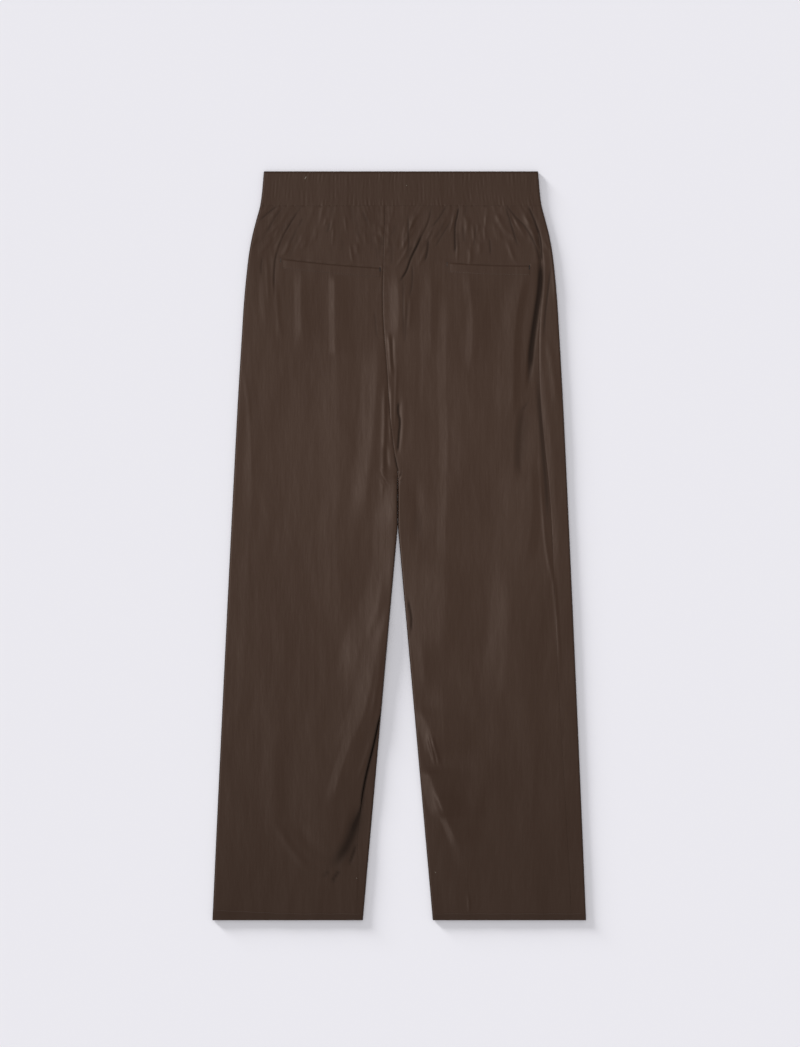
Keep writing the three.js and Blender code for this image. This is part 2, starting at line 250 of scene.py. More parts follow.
def pane(height: float, left: float, right: float, *points: Point, fade: float = 0.25) -> Fold:
    """Even slope up to its line and down again, or down and up if its height is below zero."""
    return Fold(Profile.PANE, height, left, points, fade, right)


RIGHT_SIDE_FOLDS = (
    soft(-1.4, 2.9, (191, 66), (197, 112), (198, 130), (197, 159), (191.5, 206), (184.5, 252),
         (181, 300), fade=0.15),
    crease(1.8, 3.4, (198, 118), (197, 159), (191.5, 198), (188, 222), (185, 250), (183, 288), fade=0.2),
    pane(-0.8, 5, 40, (186, 230), (184, 252), (182, 280), (179, 310)),
    pane(-1.0, 10, 30, (177, 322), (173, 348), (170.5, 376), (170, 404), (171, 440), fade=0.25),
    crease(0.4, 5.0, (174, 322), (170, 348), (167, 376), (166, 404), (167, 432)),
    crease(0.5, 1.5, (181, 321), (176, 329), (170, 336)),
    crease(0.7, 1.2, (149, 46), (161, 62), (175.5, 77), (191, 105), (197, 128), fade=0.1),
    crease(1.0, 1.3, (180, 47), (191, 74), (197, 92.5), (199.6, 127), fade=0.1),
    soft(0.4, 4.0, (170, 56), (179, 70), (185, 88), (190, 108)),
    soft(0.35, 3.0, (206, 90), (204.5, 130), (202.5, 175), (200, 215), (199, 250), (201, 300)),
    crease(0.7, 1.5, (213, 125), (209, 159), (203.5, 208), (202, 240)),
    soft(0.45, 5.0, (205, 225), (211, 255), (217, 295), (221, 335)),
    soft(0.5, 3.0, (207, 75), (213, 105), (217, 140), (218, 190)),
    pane(-0.5, 7, 9, (190, 240), (193.5, 278), (197.5, 320), (204.4, 376), (210.8, 460), (214.4, 516),
         (218, 590), fade=0.2),
    crease(0.75, 3.0, (193, 270), (195, 312), (200, 376), (206, 446), (209, 506)),
    pane(0.12, 7, 40, (202, 285), (205, 330), (210.5, 376), (217, 446), (219.5, 516), (221, 560)),
    soft(0.5, 2.2, (194, 376), (197.6, 420), (203, 500), (208, 540), (216, 575), (219.5, 615),
         (223, 660), (226, 725)),
    pane(1.1, 25, 10, (177, 138), (169, 172), (163.5, 208), (160.7, 250), (160, 299), (158, 356),
         fade=0.2),
    pane(1.2, 48, 14, (183, 395), (186, 446), (182, 516), (170, 566)),
    pane(1.9, 34, 80, (148, 535), (152, 572), (153, 628), (150, 690), (138, 765), fade=0.28),
)
SEAT_FOLDS = (
    crease(0.5, 1.3, (46, 46), (40, 71), (33, 86), (25, 103)),
    crease(1.3, 1.4, (32, 86), (25, 103), (15.6, 123), (9.4, 140), (-2, 158), fade=0.2),
    lip(0.25, 4.0, (45, 52), (40, 71), (25, 103), (15.6, 123), (9.4, 140), (-2, 158), fade=0.2),
    crease(0.6, 1.3, (67, 45), (57, 63), (43.5, 81)),
    crease(0.5, 1.3, (73, 68), (60, 89), (49, 108)),
    crease(0.9, 1.7, (41, 93), (38.7, 114), (35.4, 128)),
    crease(0.7, 1.3, (12.5, 58), (12.5, 83), (13, 105), (9.4, 119)),
    crease(0.6, 1.3, (18.5, 126), (17.2, 162), (13.5, 178)),
    crease(0.35, 1.3, (13, 176), (10.5, 194), (9.5, 215), (8, 245)),
    crease(0.4, 1.3, (5, 146), (5.5, 165), (5.5, 194), (6, 215), (6, 238)),
    soft(0.3, 2.0, (8, 165), (8, 194), (8, 214)),
    soft(0.32, 2.4, (16.5, 170), (15.5, 194), (14, 225)),
    pane(1.2, 14, 45, (-5, 136), (-2, 160), (-0.4, 185), (-0.4, 211), (-3, 240), fade=0.3),
    soft(0.9, 2.6, (-16, 222), (-13, 245), (-10, 290)),
    soft(0.13, 1.4, (-20, 50), (-20.2, 90), (-20.6, 132)),
    soft(-1.0, 2.4, (-9.5, 226), (-10, 250), (-8, 284)),
    soft(0.5, 2.0, (-3, 262), (-4, 290), (-5, 325), (-6, 370)),
    pane(0.8, 6, 8, (-12, 285), (-11.5, 320), (-12, 352), (-13, 392), fade=0.3),
    soft(-0.3, 5.0, (31, 120), (29, 190), (28, 280), (27, 360)),
    crease(1.3, 1.5, (-1, 320), (-1.6, 338), (0.6, 348), (-0.6, 368), (-2.4, 394), fade=0.12),
    soft(-0.45, 2.2, (1.4, 314), (0.4, 342), (0.6, 365), (-2, 387), (-5.4, 402), fade=0.2),
    soft(-0.6, 2.4, (-14, 296), (-14.5, 340), (-14, 392)),
    pane(1.1, 6, 2.5, (-20, 290), (-20, 350), (-21, 400), (-24, 462), fade=0.25),
    soft(0.2, 3.0, (8, 300), (6, 350), (3, 400)),
    pane(0.55, 18, 60, (6, 286), (5, 340), (4, 392), (0, 430), fade=0.2),
    pane(1.2, 24, 80, (-5, 408), (-5, 450), (-6, 505), fade=0.3),
    crease(0.8, 1.4, (-6.6, 394), (-3, 414), (1.5, 426), (5, 437)),
    soft(-0.9, 3.6, (-18, 380), (-18, 400), (-16, 420)),
    crease(0.4, 1.3, (-34, 194), (-33, 215), (-31, 234)),
)
LEFT_LEG_FOLDS = (
    crease(0.35, 1.2, (-133, 43), (-153, 73), (-161, 88)),
    crease(0.6, 1.2, (-150, 70), (-158, 82), (-166, 98), (-171, 112)),
    crease(0.4, 1.2, (-142, 56), (-149, 67), (-157, 80)),
    crease(0.75, 1.2, (-167, 104), (-172.5, 118), (-175, 138), (-175.5, 168)),
    lip(0.2, 4.0, (-133, 48), (-153, 73), (-166, 98), (-172.5, 118), (-175, 138), (-176, 184), fade=0.2),
    crease(0.7, 1.3, (-168, 46), (-187, 61), (-196, 70)),
    crease(0.5, 1.3, (-162, 48), (-176, 68), (-186, 88)),
    crease(0.5, 1.3, (-191, 118), (-193, 130), (-193, 146)),
    soft(0.3, 2.6, (-185, 116), (-184, 150), (-183, 190)),
    pane(0.55, 8, 40, (-191, 128), (-189.5, 160), (-188.5, 185), (-187, 222), fade=0.35),
    soft(0.3, 3.4, (-173, 152), (-171.5, 180), (-169, 208), (-166, 240)),
    pane(0.9, 10, 30, (-137.5, 124), (-137.5, 160), (-137, 208), (-136, 250), fade=0.3),
    pane(1.0, 9, 30, (-90.5, 141), (-90.5, 170), (-90, 208), (-89.5, 262), fade=0.12),
    pane(0.65, 26, 40, (-84, 222), (-84, 300), (-82, 376), (-83, 446), (-89, 516), (-86, 572),
         (-78, 640), fade=0.2),
    pane(0.45, 12, 34, (-200, 280), (-204, 376), (-210, 516), (-214.5, 600), (-217, 684), (-223, 772)),
    pane(1.9, 23, 40, (-28.5, 228), (-29, 255), (-31, 299), (-37, 376), (-45, 446), (-52, 500), fade=0.2),
    pane(2.5, 30, 110, (-9, 398), (-8, 446), (-8, 516), (-13, 572), (-22, 600), (-35, 628), (-56, 684),
         (-59, 736), fade=0.22),
    soft(0.35, 4.0, (-22, 560), (-27, 596), (-34, 628)),
    soft(-0.4, 3.5, (-19, 612), (-27, 632), (-44, 664)),
    pane(0.6, 26, 60, (-58, 640), (-61, 712), (-78, 770), (-90, 840), fade=0.3),
    soft(0.18, 2.6, (-222, 258), (-214, 300), (-209, 350), (-208, 400), (-209, 450)),
    pane(2.7, 24, 120, (-9, 596), (-18, 628), (-31, 684), (-37, 712), (-47, 754), (-59, 785), (-71, 815),
         fade=0.22),
    pane(1.2, 12, 70, (-60, 775), (-76, 824), (-86, 855), (-95, 890), fade=0.3),
    soft(0.35, 3.0, (-20, 650), (-26, 684), (-31, 720), (-37, 754), (-41, 780)),
    soft(0.3, 3.0, (-38, 790), (-48, 824), (-58, 852)),
    crease(0.9, 2.4, (-46, 868), (-52, 886), (-58, 904), (-66, 926), fade=0.3),
    crease(1.1, 7.5, (-52, 884), (-59, 906), (-70.5, 938), (-84, 962), (-97, 982), fade=0.35),
    pane(-0.8, 12, 50, (-54, 880), (-62, 906), (-71, 938), (-86, 966), fade=0.3),
    crease(0.9, 2.2, (-59, 938), (-65, 956), (-72, 974), fade=0.35),
    crease(0.8, 2.6, (-82, 975), (-88, 984), (-96, 996), fade=0.35),
    crease(0.5, 2.6, (-97, 976), (-102, 983), (-108, 989), fade=0.4),
    soft(0.4, 3.4, (-68, 944), (-76, 960), (-84, 976)),
    soft(0.5, 5.0, (-176, 905), (-150, 950), (-118, 985)),
    soft(-0.5, 9.0, (-150, 905), (-125, 940), (-100, 965)),
    pane(0.7, 34, 50, (-92, 840), (-96, 900), (-90, 960), fade=0.35),
)
RIGHT_LEG_FOLDS = (
    crease(1.1, 1.3, (83.3, 48), (81, 62), (78.6, 72), (78, 115), fade=0.12),
    crease(0.8, 1.3, (147.5, 45), (154, 66), (163, 95.5), (168, 108)),
    crease(0.6, 1.3, (126, 92), (127.3, 105), (128, 118)),
    soft(0.45, 4.0, (136, 56), (144, 76), (155, 92)),
    soft(0.4, 3.0, (176, 54), (179, 66), (184, 80)),
    soft(0.35, 3.0, (92, 58), (94, 76), (95, 92)),
    soft(0.4, 2.6, (98, 104), (99, 120), (98, 134)),
    pane(0.7, 9, 16, (45, 126), (44.5, 159), (44.5, 208), (43, 268), fade=0.3),
    pane(0.9, 13, 66, (66, 132), (66, 250), (66, 299), (68, 376), (67, 446), (65, 516), (62, 600),
         fade=0.2),
    pane(0.8, 10, 25, (98, 134), (99, 159), (103, 208), (102, 250), (100, 285), fade=0.25),
    pane(0.5, 14, 30, (88, 270), (87, 320), (86, 400), (84, 460), fade=0.35),
    pane(2.8, 55, 64, (62, 528), (63, 560), (63, 600), (62, 640), (58, 690), fade=0.3),
    pane(0.9, 14, 20, (30, 640), (33, 684), (38, 735), fade=0.35),
    soft(-0.8, 10.0, (23, 430), (26, 480), (24, 530)),
    crease(1.0, 1.8, (10, 594), (15, 614), (17, 630), (14, 650)),
    pane(2.1, 15, 60, (27, 744), (35, 765), (43, 782), (48, 800), (53, 824), fade=0.3),
    soft(1.2, 2.0, (39, 786), (45.5, 810), (50.5, 830)),
    soft(1.2, 2.0, (43.8, 788), (50.6, 810), (57, 832)),
    pane(2.8, 17, 60, (36, 832), (45.5, 852), (51.5, 872), (57, 888), (66, 908), fade=0.2),
    pane(1.9, 8, 40, (50, 862), (63.5, 901), (73, 924), (83, 948), fade=0.25),
    pane(0.5, 14, 50, (76, 924), (86, 950), (98, 985), fade=0.35),
    soft(0.5, 2.0, (97, 1012), (97.5, 1037)),
)
LONG_FOLDS = (
    pane(0.9, 26, 60, (60, 700), (62, 754), (66, 820), fade=0.35),
    pane(0.8, 40, 60, (100, 680), (104, 740), (108, 800), fade=0.3),
    pane(0.6, 16, 50, (112, 790), (110, 852), (106, 930), fade=0.35),
    pane(0.5, 30, 60, (-112, 700), (-118, 820), (-124, 940), fade=0.3),
    soft(0.5, 12.0, (-168, 700), (-174, 820), (-182, 960)),
    soft(0.5, 14.0, (172, 620), (178, 760), (186, 900)),
)


class Gathers:
    """Fine uneven gathers that fan out of the waistband into the panels."""

    COUNT = 172
    SEED = 11
    LOWER_SHARE = 0.7
    SUNK_SHARE = 0.25
    FAN = Curve((
        (-200, -0.75), (-165, -0.6), (-130, -0.55), (-100, -0.3), (-75, 0.05),
        (-45, 0.25), (-10, -0.1), (15, -0.1), (45, -0.55), (70, -0.5),
        (84, -0.1), (125, 0.1), (145, 0.55), (180, 0.45), (200, 0.4),
    ))

    def __init__(self) -> None:
        """Lay out the gathers, the same on every run."""
        random = np.random.default_rng(self.SEED)
        starts = np.linspace(-190, 188, self.COUNT) + random.uniform(-2.4, 2.4, self.COUNT)
        self.folds = tuple(self.one(float(start), random) for start in starts)

    def one(self, start: float, random: np.random.Generator) -> Fold:
        """One gather.

        Args:
            start: its place along the waistband.
            random: the source of its unevenness.

        Returns:
            The fold, some from the casing down and some starting lower.
        """

        def between(low: float, high: float) -> float:
            """One even draw."""
            return float(random.uniform(low, high))

        lower = random.random() < self.LOWER_SHARE
        top = BAND_DEPTH + (between(3, 56) if lower else -14.0)
        reach = between(14, 40) if lower else between(24, 56)
        lean = float(self.FAN(start)) + between(-0.14, 0.14)
        begun = start + lean * max(0.0, top - BAND_DEPTH)
        bend = (begun + 0.45 * lean * reach, top + 0.5 * reach)
        points = ((begun, top), bend, (begun + lean * reach, top + reach))
        sunk = random.random() < self.SUNK_SHARE
        height = between(0.12, 0.4) * (1.0 if lower else 0.55)
        width = between(1.5, 3.2)
        return crease(height, 0.8 * width, *points) if sunk else soft(height, width, *points, fade=0.35)


FOLDS = RIGHT_SIDE_FOLDS + SEAT_FOLDS + LEFT_LEG_FOLDS + RIGHT_LEG_FOLDS + LONG_FOLDS + Gathers().folds


@dataclass(frozen=True)
class Pocket:
    """A back pocket's opening, from its left end to its right, and the welt below it."""

    name: str
    side: int
    x0: float
    down0: float
    x1: float
    down1: float
    bow: float = 1.2
    slit_depth: float = 0.9
    slit_begins: float = 15.0
    bag_fullness: float = 0.35

    @property
    def width(self) -> float:
        """Length of the opening."""
        return self.x1 - self.x0

    @property
    def panel(self) -> str:
        """Name of the panel that the pocket is in."""
        return "back_right_cloth" if self.side > 0 else "back_left_cloth"

    def opening(self, x: Array | float) -> Array:
        """Depth of the opening at each place across."""
        share = (x - self.x0) / self.width
        return mix(self.down0, self.down1, share) + self.bow * np.sin(np.pi * np.clip(share, 0, 1))

    def within(self, x: Array, fade: float = 1.5) -> Array:
        """1 between the ends, fading out beyond them."""
        return blend(x, self.x0 - fade, self.x0) * blend(-x, -self.x1 - fade, -self.x1)

    def relief(self, x: Array, down: Array) -> Array:
        """Height the pocket adds to the panel: a slit, and the bag's soft edge below it."""
        past = down - self.opening(x)
        begun = blend(x, self.x0, self.x0 + self.slit_begins)
        slit = -self.slit_depth * bell(past + 0.5, 0.9) * self.within(x) * begun
        below = blend(past, -6, 2) * blend(-past, -40, -WELT_DEPTH)
        return slit + self.bag_fullness * below * self.within(x, 16.0)


POCKETS = (
    Pocket("welt_left", -1, -167.0, 122.0, -26.0, 135.0),
    Pocket("welt_right", 1, 66.0, 127.5, 183.0, 132.0),
)


class Relief:
    """Height of the upper layer over the whole garment, above its plain height."""

    SLOW_LIFT = 0.22
    FINE_LIFT = 0.1
    HEM_RISE = 4.5
    HEM_STEP = 0.5
    HEM_FALL = 0.75
    STITCH_SINK = 0.3

    @classmethod
    def noise(cls, x: Array, down: Array) -> Array:
        """Slow irregular lift of cloth that never lies dead flat."""
        slow = np.sin(x / 23.0 + 1.3 * np.sin(down / 71.0)) * np.sin(down / 97.0 + x / 61.0)
        fine = np.sin(x / 7.3 + 2.1 * np.sin(down / 37.0 + x / 90.0)) * np.sin(down / 46.0 + 0.7)
        return cls.SLOW_LIFT * slow + cls.FINE_LIFT * fine

    @classmethod
    def folds(cls, x: Array, down: Array) -> Array:
        """Sum of every fold at each place."""
        total = cls.noise(x, down)
        for fold in FOLDS:
            share = CREASE_SHARE if fold.profile is Profile.CREASE else 1.0
            total += share * fold.rise(x, down)
        return total

    @staticmethod
    def painted_crease_shade(x: Array, down: Array) -> Array:
        """How much shade is painted along the creases at each place, from 0 to 1, by how tightly they pinch
        the cloth.
        """
        total = np.zeros_like(x)
        for fold in FOLDS:
            if fold.profile is Profile.CREASE:
                total -= fold.rise(x, down)
        return np.clip(total / 1.2, 0, 1)

    @classmethod
    def hem_line(cls, x: Array) -> Array:
        """Depth of the hem's stitching, a little higher towards the left side seam."""
        return LENGTH - HEM_DEPTH - cls.HEM_RISE * blend(-x, 140, 262)

    @classmethod
    def hem(cls, x: Array, down: Array) -> Array:
        """Turned-up hem: a little thicker below its row of stitching, which sinks in."""
        above = cls.hem_line(x)
        fall = cls.HEM_FALL * np.clip((down - above) / HEM_DEPTH, 0, 1)
        turned = cls.HEM_STEP * blend(down, above - 1.5, above) - fall
        return turned - cls.STITCH_SINK * bell(down - above, 0.8)

    @classmethod
    def top(cls, x: Array, down: Array, plain: Array) -> Array:
        """Top of the upper layer.

        Args:
            x: places across.
            down: depths below the waist edge.
            plain: its height where no fold lifts it.

        Returns:
            The height, never down into the under layer.
        """
        raised = cls.folds(x, down)
        for pocket in POCKETS:
            raised = raised + pocket.relief(x, down)
        height = plain + raised + cls.hem(x, down)
        floor = LOWEST_TOP + SINK_EASE
        eased = floor - SINK_EASE * (1 - np.exp((height - floor) / SINK_EASE))
        return np.where(height > floor, height, eased)


@dataclass
class Section:
    """Flattened tube of cloth cut across at many depths, one depth for each point asked for."""

    side: int
    down: Array
    upper_inner: Array
    under_inner: Array
    outer: Array
    height: Array
    roll: float
    inner_turn: Array

    def __post_init__(self) -> None:
        """Work out the radius of the rolls and where they start."""
        self.radius = self.height / 2
        reach = self.radius * np.sin(self.inner_turn * np.pi / 2)
        self.upper_start = self.upper_inner + reach
        self.under_start = self.under_inner + reach
        self.outer_centre = self.outer - self.radius
        self.half_roll = self.radius * np.pi / 2

    @property
    def round(self) -> float:
        """Once round, in stations."""
        return 2 + 2 * self.roll

    def outer_seam(self, along: Array) -> Array:
        """Station of a seam, measured along the cloth from the outer edge up to the upper layer."""
        past = np.abs(along) - self.half_roll
        upper = 1 - past / (self.outer_centre - self.upper_start)
        under = 1 + self.roll + past / (self.outer_centre - self.under_start)
        turning = 1 + self.roll / 2 * (1 - along / self.half_roll)
        return np.where(past <= 0, turning, np.where(along > 0, upper, under))

    def inner_seam(self, along: Array) -> Array:
        """Station of a seam, measured along the cloth from the inner edge, back from station 0."""
        past = np.abs(along) - self.half_roll
        upper = past / (self.outer_centre - self.upper_start)
        under = -self.roll - past / (self.outer_centre - self.under_start)
        turning = self.roll / 2 * (along / self.half_roll - 1)
        return np.where(past <= 0, turning, np.where(along > 0, upper, under))

    def place(self, station: Array, top: Callable[..., Array]) -> Array:
        """Points of the outer face.

        Args:
            station: a station for each depth.
            top: height of the upper run from x, down and plain height.

        Returns:
            Points in millimetres, one row each.
        """
        s = np.where(station > self.round, station - self.round, station)
        outward, z = np.zeros_like(s), np.zeros_like(s)
        runs = (
            (s < 0, -s / self.roll, self.upper_start, -1),
            ((s > 1) & (s < 1 + self.roll), (s - 1) / self.roll, self.outer_centre, 1),
            (s > 2 + self.roll, (self.round - s) / self.roll, self.under_start, -1),
        )
        for mask, turn, centre, direction in runs:
            angle = np.pi * turn
            outward = np.where(mask, centre + direction * self.radius * np.sin(angle), outward)
            z = np.where(mask, self.radius + self.radius * np.cos(angle), z)
        upper = (s >= 0) & (s <= 1)
        under = (s >= 1 + self.roll) & (s <= 2 + self.roll)
        outward = np.where(upper, mix(self.upper_start, self.outer_centre, s), outward)
        outward = np.where(under, mix(self.outer_centre, self.under_start, s - 1 - self.roll), outward)
        beside = self.side * np.clip(outward, self.upper_start, self.outer_centre)
        risen = top(beside, self.down, self.height)
        z = np.where(upper, risen, z * mix(1.0, risen / self.height, blend(z, 0, self.height)))
        return laid(self.side * outward, self.down, z)


def leg_section(side: int, down: Array) -> Section:
    """Section of one leg, or of the half of the seat above it.

    Args:
        side: -1 for the left leg and 1 for the right.
        down: depths to cut at.

    Returns:
        The section.
    """
    spread = HEM_SPREAD * np.maximum(0, down - PART_DOWN) / (LENGTH - PART_DOWN)
    forked = down >= FORK_DOWN
    start = SEWING_GAP / 2 + spread
    return Section(
        side=side,
        down=down,
        upper_inner=side * np.where(forked, FORK_X, BACK_SEAM(down)) + start,
        under_inner=side * np.where(forked, FORK_X, FRONT_SEAM(down)) + start,
        outer=HALF_WIDTH(down) + side * LEAN * (1 - down / LENGTH),
        height=mix(BAND_HEIGHT, PANEL_HEIGHT, blend(down, BAND_DEPTH, 2 * BAND_DEPTH)),
        roll=LEG_ROLL,
        inner_turn=blend(down, FORK_DOWN, FORK_DOWN + 22),
    )


def band_section(down: Array) -> Section:
    """Section of the waistband, one tube from side to side."""
    lean, half = LEAN * (1 - down / LENGTH), HALF_WIDTH(down)
    return Section(
        side=1,
        down=down,
        upper_inner=lean - half,
        under_inner=lean - half,
        outer=lean + half,
        height=np.full_like(down, BAND_HEIGHT),
        roll=BAND_ROLL,
        inner_turn=np.ones_like(down),
    )


def leg_face(side: int, x: Array, down: Array) -> Array:
    """Height of a leg's upper face at each place."""
    return Relief.top(x, down, leg_section(side, down).height)


def laid(x: Array, down: Array, z: Array) -> Array:
    """Points in millimetres, one row each, from places across, depths and heights."""
    return np.column_stack((x, LENGTH / 2 - down, z))


@dataclass
class Socket:
    """A shader value that takes Python's arithmetic."""

    tree: bpy.types.NodeTree
    out: bpy.types.NodeSocket

    def _math(self, operation: str, *values: Any) -> Socket:
        """Add a Math node and wrap what it gives."""
        return node(self.tree, "ShaderNodeMath", {"operation": operation}, dict(enumerate(values)))

    def __add__(self, other: Any) -> Socket:
        """Sum."""
        return self._math("ADD", self, other)

    def __sub__(self, other: Any) -> Socket:
        """Difference."""
        return self._math("SUBTRACT", self, other)

    def __rsub__(self, other: Any) -> Socket:
        """Difference from a number."""
        return self._math("SUBTRACT", other, self)

    def __mul__(self, other: Any) -> Socket:
        """Product."""
        return self._math("MULTIPLY", self, other)

    __radd__ = __add__
    __rmul__ = __mul__


def connect(made: bpy.types.Node, inputs: dict[Any, Any]) -> None:
    """Give a node's sockets their values, or their links from other nodes."""
    for key, value in inputs.items():
        if isinstance(value, Socket):
            value.tree.links.new(value.out, made.inputs[key])
        else:
            made.inputs[key].default_value = value


def node(
    tree: bpy.types.NodeTree,
    kind: str,
    settings: dict[str, Any] | None = None,
    inputs: dict[Any, Any] | None = None,
    output: int | str = 0,
) -> Socket:
    """Add one shader node.

    Args:
        tree: the material's node tree.
        kind: the node's type.
        settings: its properties, set before its sockets.
        inputs: socket name or number to a value, or to a Socket to link from.
        output: the output to wrap.

    Returns:
        The output as a Socket.
    """
    made = tree.nodes.new(kind)
    for name, value in (settings or {}).items():
        setattr(made, name, value)
    connect(made, inputs or {})
    return Socket(tree, made.outputs[output])


def mixed_colour(tree: bpy.types.NodeTree, share: Any, start: Any, end: Any) -> Socket:
    """Colour a share of the way from start to end."""
    return node(tree, "ShaderNodeMix", {"data_type": "RGBA"}, {0: share, 6: start, 7: end}, 2)


def new_material(name: str) -> tuple[bpy.types.Material, bpy.types.NodeTree, bpy.types.Node]:
    """Start a material: the material, its node tree and its shader."""
    material = bpy.data.materials.new(name)
    material.use_nodes = True
    return material, material.node_tree, material.node_tree.nodes["Principled BSDF"]


@dataclass(frozen=True)
class Satin:
    """Dark brown satin: fine upright yarns with a dull glow, and painted shade darkening its colour down in
    the folds.
    """

    name: str = "satin"
    base: tuple[float, float, float] = (0.0369, 0.0189, 0.0116)
    light: tuple[float, float, float] = (0.0458, 0.0256, 0.017)
    # Colour of the painted shade down in folds and creases.
    painted_shade_colour: tuple[float, float, float] = (0.009, 0.0052, 0.0036)
    roughness: float = 0.45

    def build(self) -> bpy.types.Material:
        """Make the material.

        Returns:
            The material, patterned in millimetres on the object's own coordinates.
        """
        material, tree, shader = new_material(self.name)
        place = node(tree, "ShaderNodeTexCoord", output="Object")

        def grain(x: float, y: float, detail: float = 2.0) -> Socket:
            """Noise with about x and y grains to the metre."""
            scaled = node(tree, "ShaderNodeMapping", inputs={0: place, "Scale": (x, y, x)})
            return node(tree, "ShaderNodeTexNoise", inputs={"Vector": scaled, "Scale": 1.0, "Detail": detail})

        yarns, slubs, wefts, cloud = grain(1500, 60), grain(420, 9), grain(14, 500), grain(9, 5)
        # Painted shade: a point attribute says how much the colour is darkened down in folds and creases,
        # where it also raises the roughness.
        hollow = node(tree, "ShaderNodeAttribute", {"attribute_name": "hollow"}, output="Fac")
        tone = 0.5 + (yarns - 0.5) * 0.5 + (slubs - 0.5) * 0.6 + (wefts - 0.5) * 0.35 + (cloud - 0.5) * 1.6
        face = mixed_colour(tree, tone, (*self.base, 1), (*self.light, 1))
        weave = yarns * 0.35 + wefts * 0.3 + slubs * 0.45
        crumple = grain(60, 16, 3.0)
        fine = node(tree, "ShaderNodeBump", inputs={"Strength": 0.35, "Distance": 0.00025, "Height": weave})
        broad = {"Strength": 0.5, "Distance": 0.0012, "Height": crumple, "Normal": fine}
        finish = {
            # Painted shade: the colour is mixed towards the painted shade colour.
            "Base Color": mixed_colour(tree, hollow * 0.85, face, (*self.painted_shade_colour, 1)),
            "Roughness": self.roughness - 0.04 + slubs * 0.05 + cloud * 0.05 + hollow * 0.4,
            "Normal": node(tree, "ShaderNodeBump", inputs=broad),
            "Specular IOR Level": 0.25,
            "Specular Tint": (1.0, 0.8, 0.7, 1),
            "Sheen Weight": 0.06,
            "Sheen Roughness": 0.4,
            "Sheen Tint": (0.75, 0.62, 0.55, 1),
        }
        connect(shader, finish)
        return material


@dataclass(frozen=True)
class Thread:
    """Polyester sewing thread, in the cloth's colour or pale."""

    name: str
    colour: tuple[float, float, float]
    roughness: float = 0.55

    def build(self) -> bpy.types.Material:
        """Make the material, with the twist of the thread as fine slanting bands."""
        material, tree, shader = new_material(self.name)
        place = node(tree, "ShaderNodeTexCoord", output="Object")
        slant = {0: place, "Rotation": (0, 0, 0.7), "Scale": (2600, 2600, 2600)}
        turned = node(tree, "ShaderNodeMapping", inputs=slant)
        twist = node(tree, "ShaderNodeTexWave", inputs={"Vector": turned, "Scale": 1.0})
        darker = tuple(0.6 * channel for channel in self.colour)
        relief = {"Strength": 0.4, "Distance": 0.0001, "Height": twist}
        finish = {
            "Base Color": mixed_colour(tree, twist, (*darker, 1), (*self.colour, 1)),
            "Normal": node(tree, "ShaderNodeBump", inputs=relief),
            "Roughness": self.roughness,
        }
        connect(shader, finish)
        return material


def to_mesh(made: bmesh.types.BMesh, name: str) -> bpy.types.Mesh:
    """Turn a bmesh into a named mesh and free it."""
    mesh = bpy.data.meshes.new(name)
    made.to_mesh(mesh)
    made.free()
    return mesh


def shade_smooth(mesh: bpy.types.Mesh) -> None:
    """Round the look of every face."""
    mesh.polygons.foreach_set("use_smooth", np.ones(len(mesh.polygons), bool))


Lay = Callable[[Array, Array], tuple[Array, Array]]
EVEN = ((0, 0), (1, 1))


@dataclass
class Shell:
    """A wall of cloth over one CAD node, from a grid laid on its outer face.

    The first of the rows is where the grid starts, and each other one gives a depth and the steps down to it.
    The spacing says, for shares of the columns, what share of the way across they have reached.
    """

    name: str
    node: str
    columns: int
    rows: tuple[tuple[float, int], ...]
    wall: float
    spacing: tuple[tuple[float, float], ...] = EVEN

    def depths(self, along: Array) -> Array:
        """Depth of each grid row, from its share of the way down the grid."""
        stops = [self.rows[0][0]]
        counts = [0]
        for to, count in self.rows[1:]:
            stops.append(to)
            counts.append(counts[-1] + count)
        return np.interp(along * counts[-1], counts, stops)

    def build(self, place: Lay, cloth: bpy.types.Material, turned: bool = False) -> bpy.types.Object:
        """Make and dress the shell's object.

        Args:
            place: gives points in millimetres and the shade painted at each, from shares across and depths.
            cloth: what the shell is made of.
            turned: whether the grid's faces have to be turned round to face out.

        Returns:
            The object, replacing its CAD node.
        """
        total = sum(count for _, count in self.rows[1:])
        grid = bmesh.new()
        bmesh.ops.create_grid(grid, x_segments=self.columns, y_segments=total, size=0.5)
        flat = np.array([vertex.co[:] for vertex in grid.verts])
        across = np.interp(np.round(flat[:, 0] + 0.5, 6), *zip(*self.spacing))
        points, hollow = place(across, self.depths(np.round(0.5 - flat[:, 1], 6)))
        for vertex, point in zip(grid.verts, points):
            vertex.co = point * MM
        if turned:
            bmesh.ops.reverse_faces(grid, faces=grid.faces[:])
        mesh = to_mesh(grid, self.name)
        # The painted shade goes on as a point attribute that darkens the satin's colour.
        depth = mesh.attributes.new("hollow", "FLOAT", "POINT")
        depth.data.foreach_set("value", hollow.astype(np.float32))
        shell = add_object(self.name, mesh)
        harden_wall(shell, self.wall * MM)
        shell.data.materials.append(cloth)
        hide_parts(self.node)
        return shell


def add_object(name: str, mesh: bpy.types.Mesh, ride: bool = True) -> bpy.types.Object:
    """Link a new object that rides on the garment's one body."""
    made = bpy.data.objects.new(name, mesh)
    bpy.context.scene.collection.objects.link(made)
    if ride:
        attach(made, "root")
    return made


def harden_wall(shell: bpy.types.Object, thickness: float) -> None:
    """Give a surface its thickness inwards and keep its cut edges crisp.

    Args:
        shell: the object with the outer face.
        thickness: wall in metres.
    """
    wall = shell.modifiers.new("wall", "SOLIDIFY")
    wall.thickness = thickness
    wall.offset = -1
    wall.use_rim = True
    depsgraph = bpy.context.evaluated_depsgraph_get()
    finished = bpy.data.meshes.new_from_object(shell.evaluated_get(depsgraph))
    shell.modifiers.clear()
    shell.data = finished
    finished.name = shell.name
    shade_smooth(finished)
    finished.set_sharp_from_angle(angle=math.radians(60))


